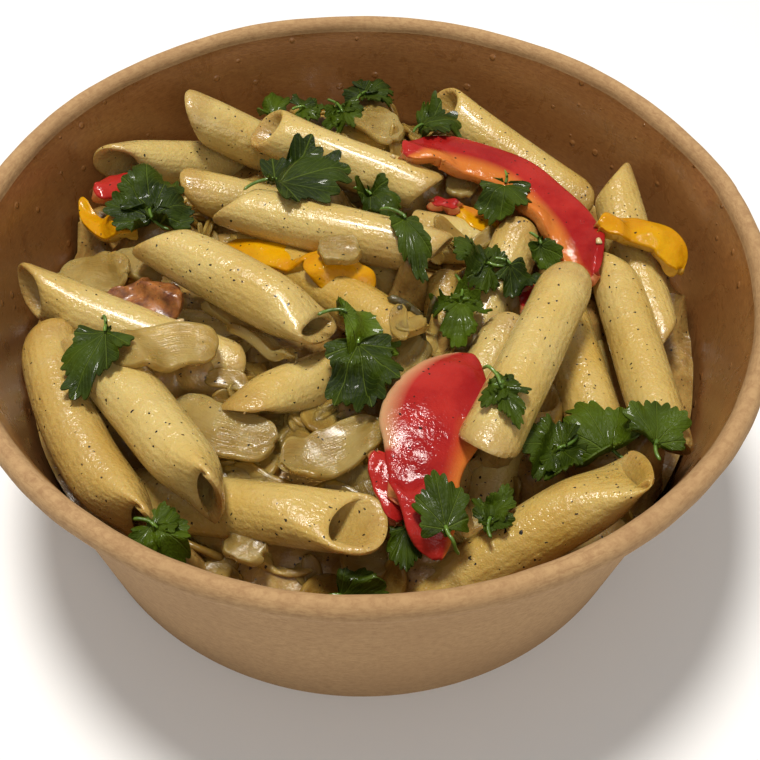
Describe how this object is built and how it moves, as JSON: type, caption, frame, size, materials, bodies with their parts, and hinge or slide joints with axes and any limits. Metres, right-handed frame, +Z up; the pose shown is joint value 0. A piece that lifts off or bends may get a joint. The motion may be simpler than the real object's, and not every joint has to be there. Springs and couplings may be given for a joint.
{
  "type": "pasta takeaway bowl",
  "caption": "Round kraft paper takeaway bowl, open at the top, holding a cooked meal of penne, pepper strips, onion slices and parsley.",
  "frame": {"origin": "middle of the foot ring, on the surface that the bowl stands on", "axes": "+Z up along the bowl's axis; the picture looks along +Y and downwards, with +X to its right"},
  "size_m": [0.1498, 0.1498, 0.0613],
  "materials": {
    "kraft_paper": "matte",
    "pasta": "satin",
    "red_pepper": "gloss",
    "yellow_pepper": "gloss",
    "tomato": "satin",
    "onion": "gloss",
    "parsley": "satin"
  },
  "bodies": {
    "root": {"bowl_wall": "kraft_paper", "bowl_base": "kraft_paper", "pasta_heap": "pasta", "onion_back_petal": "onion", "onion_centre_left": "onion", "onion_centre_right": "onion", "onion_front_left": "onion", "onion_front_right": "onion", "onion_left_large": "onion", "onion_left_ragged": "onion", "onion_left_small": "onion", "onion_pink": "onion", "onion_shred": "onion", "onion_square": "onion", "onion_under_left": "onion", "parsley_back_dark": "parsley", "parsley_back_large": "parsley", "parsley_back_over_bore": "parsley", "parsley_back_right": "parsley", "parsley_back_small": "parsley", "parsley_back_strand": "parsley", "parsley_back_upright": "parsley", "parsley_by_onion": "parsley", "parsley_by_rim": "parsley", "parsley_centre_bright": "parsley", "parsley_centre_dark": "parsley", "parsley_centre_stem": "parsley", "parsley_centre_top": "parsley", "parsley_curled_on_penne": "parsley", "parsley_front_dark": "parsley", "parsley_front_left": "parsley", "parsley_front_small": "parsley", "parsley_left_dark": "parsley", "parsley_left_sprig": "parsley", "parsley_on_slab": "parsley", "parsley_on_slanting": "parsley", "parsley_right_bright": "parsley", "parsley_right_dark": "parsley", "parsley_right_low": "parsley", "parsley_right_rim": "parsley", "parsley_right_small": "parsley", "pepper_red_arc": "red_pepper", "pepper_red_bit": "red_pepper", "pepper_red_chip": "red_pepper", "pepper_red_fold": "red_pepper", "pepper_red_left": "red_pepper", "pepper_red_slab": "red_pepper", "pepper_yellow_back": "yellow_pepper", "pepper_yellow_curl": "yellow_pepper", "pepper_yellow_left": "yellow_pepper", "pepper_yellow_long": "yellow_pepper", "pepper_yellow_middle": "yellow_pepper", "tomato_chunk": "tomato"}
  },
  "joints": []
}
